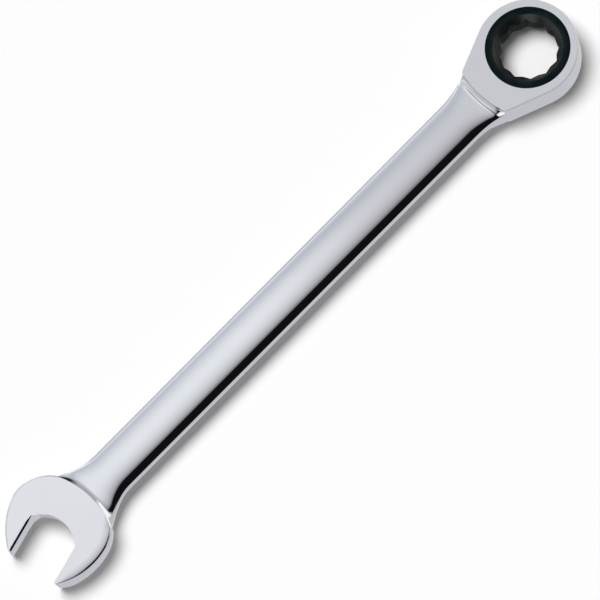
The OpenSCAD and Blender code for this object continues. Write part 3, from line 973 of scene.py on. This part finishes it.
def makeLamp():
    s = stage
    data = bpy.data.lights.new("softKey", "SUN")
    data.energy = s["sunStrength"]
    data.angle = math.radians(s["sunAngle"])
    lamp = newObject("softKey", data)
    lamp.rotation_mode = "QUATERNION"
    lamp.rotation_quaternion = Vector(s["sunFrom"]).to_track_quat("Z", "Y")
    lamp.visible_glossy = False


# what polished metal sees: colours by the angle from straight up towards the handle's near side,
# and how much of them is left along the tool
studio = dict(
    stops=[(-180, 0.50, 0.50, 0.51), (-112, 0.50, 0.50, 0.51), (-96, 0.70, 0.71, 0.73),
           (-84, 0.82, 0.85, 0.89), (-74, 0.82, 0.86, 0.91), (-63, 0.68, 0.72, 0.78),
           (-54, 0.59, 0.63, 0.69), (-45, 0.58, 0.61, 0.67), (-36, 0.60, 0.63, 0.69),
           (-31, 0.64, 0.66, 0.71), (-24, 0.69, 0.71, 0.75), (-18, 0.715, 0.73, 0.768),
           (-15, 0.685, 0.685, 0.725), (-10, 0.625, 0.615, 0.665), (-5, 0.55, 0.54, 0.58),
           (0, 0.47, 0.465, 0.495), (4, 0.40, 0.395, 0.42), (8, 0.31, 0.31, 0.325),
           (11, 0.24, 0.24, 0.25), (15, 0.006, 0.006, 0.007), (85, 0.006, 0.006, 0.007),
           (90, 0.57, 0.57, 0.605), (97, 0.66, 0.66, 0.70), (180, 0.63, 0.635, 0.68)],
    ends=[(-1.0, (0.92, 0.88, 0.85)), (-0.64, (0.92, 0.88, 0.85)), (-0.56, (0.3, 0.3, 0.3)),
          (-0.42, (0.3, 0.3, 0.3)), (-0.36, (1, 1, 1)), (0.45, (1, 1, 1)), (0.80, (0.72, 0.68, 0.66))],
    endsLow=(-0.6, -0.4), endsFar=(-0.50, -0.36), endsRing=(-0.1, 0.1),
    # white, grey and dark cards: x and near say where one begins, upTo, far and high where it ends
    cards=[
        dict(x=(-0.50, -0.62), near=(0.22, 0.34), light=1.15),
        dict(x=(0.62, 0.72), near=(-0.2, -0.1), far=(0.50, 0.60), light=1.15),
        dict(x=(0.19, 0.27), upTo=(0.40, 0.48), far=(-0.45, -0.30), high=(0.12, 0.28), light=1.15),
        dict(x=(0.0, -0.08), upTo=(-0.20, -0.26), far=(-0.45, -0.30), high=(0.12, 0.28), light=1.15),
        dict(x=(0.48, 0.60), near=(0.30, 0.45), high=(0.34, 0.48), light=0.62),
        dict(x=(0.08, 0.16), far=(0.0, 0.05), high=(-0.85, -0.75), light=0.64),
        dict(x=(0.54, 0.62), far=(-0.60, -0.46), light=0.02)])
# soft lamp over the handle and the open end, which shows in the metal only
softbox = dict(
    low=(-280.0, -45.0), high=(0.0, 255.0), z=160.0, radiance=0.26, colour=(0.95, 1.0, 1.02),
    fadeFrom=0.76, fadeTo=0.97, peak=0.34)


def makeRamp(tree, source, stops):
    made = tree.nodes.new("ShaderNodeValToRGB")
    elements = made.color_ramp.elements
    while len(elements) < len(stops):
        elements.new(0.5)
    for element, (position, colour) in zip(elements, stops):
        element.position = position
        element.color = (*colour, 1)
    tree.links.new(source, made.inputs[0])
    return made.outputs[0]


def makeWorld():
    s = studio
    world = bpy.data.worlds.new("studio")
    scene.world = world
    world.use_nodes = True
    tree = world.node_tree
    tree.nodes.clear()
    place = tree.nodes.new("ShaderNodeTexCoord")
    split = tree.nodes.new("ShaderNodeSeparateXYZ")
    tree.links.new(place.outputs["Generated"], split.inputs[0])
    x, y, z = split.outputs
    flip = addNode(tree, "ShaderNodeMath", operation="MULTIPLY")
    flip.inputs[1].default_value = -1.0
    tree.links.new(y, flip.inputs[0])
    near = flip.outputs[0]
    angle = mapRange(tree, mathNode(tree, "ARCTAN2", near, z), -math.pi, math.pi)
    around = makeRamp(tree, angle, [((turn + 180) / 360, colour) for turn, *colour in s["stops"]])
    # towards both ends of the tool the studio is darker
    along = mapRange(tree, x, -1.0, 1.0)
    ends = makeRamp(tree, along, [((reach + 1) / 2, colour) for reach, colour in s["ends"]])
    # directions from below keep their light, and towards the open end those from the far side too
    nearer = mapRange(tree, near, *s["endsFar"])
    beside = mathNode(tree, "MAXIMUM", nearer, mapRange(tree, x, *s["endsRing"]))
    above = mathNode(tree, "MULTIPLY", mapRange(tree, z, *s["endsLow"]), beside)
    dimmed = addNode(tree, "ShaderNodeVectorMath", operation="MULTIPLY")
    tree.links.new(around, dimmed.inputs[0])
    tree.links.new(mixColour(tree, above, (1, 1, 1), ends), dimmed.inputs[1])
    around = dimmed.outputs[0]
    # a card shows where its soft borders all let it
    borders = dict(
        x=(x, 0.0, 1.0), upTo=(x, 1.0, 0.0), near=(near, 0.0, 1.0), far=(near, 1.0, 0.0), high=(z, 1.0, 0.0))
    for card in s["cards"]:
        shown = None
        for name, (source, before, after) in borders.items():
            if name in card:
                border = mapRange(tree, source, *card[name], before, after)
                shown = border if shown is None else mathNode(tree, "MULTIPLY", shown, border)
        around = mixColour(tree, shown, around, (card["light"],) * 3)
    path = tree.nodes.new("ShaderNodeLightPath")
    plain = mixColour(tree, path.outputs["Is Camera Ray"], (stage["fill"],) * 3, (1, 1, 1))
    seen = mixColour(tree, path.outputs["Is Glossy Ray"], plain, around)
    light = tree.nodes.new("ShaderNodeBackground")
    tree.links.new(seen, light.inputs[0])
    leave = tree.nodes.new("ShaderNodeOutputWorld")
    tree.links.new(light.outputs[0], leave.inputs[0])


def makeSoftbox():
    s = softbox
    data = bpy.data.lights.new("softBox", "AREA")
    data.shape = "RECTANGLE"
    data.size = (s["high"][0] - s["low"][0]) * mm
    data.size_y = (s["high"][1] - s["low"][1]) * mm
    data.color = s["colour"]
    data.energy = s["radiance"] * math.pi * data.size * data.size_y
    data.use_nodes = True
    tree = data.node_tree
    shine = tree.nodes["Emission"]
    place = tree.nodes.new("ShaderNodeNewGeometry")
    split = tree.nodes.new("ShaderNodeSeparateXYZ")
    tree.links.new(place.outputs["Parametric"], split.inputs[0])
    along = mapRange(tree, split.outputs["X"], s["fadeFrom"], s["fadeTo"], 1.0, 0.0, "SMOOTHSTEP")
    rise = mapRange(tree, split.outputs["Y"], 0.0, s["peak"])
    fall = mapRange(tree, split.outputs["Y"], s["peak"], 1.0, 1.0, 0.0)
    both = mathNode(tree, "MULTIPLY", rise, fall)
    tree.links.new(mathNode(tree, "MULTIPLY", both, along), shine.inputs["Strength"])
    lamp = newObject("softBox", data)
    middle = [(a + b) / 2 for a, b in zip(s["low"], s["high"])]
    lamp.location = Vector((*middle, s["z"])) * mm
    lamp.visible_camera = False
    lamp.visible_diffuse = False


makeFloor()
makeLamp()
makeSoftbox()
makeWorld()
print("stage made")
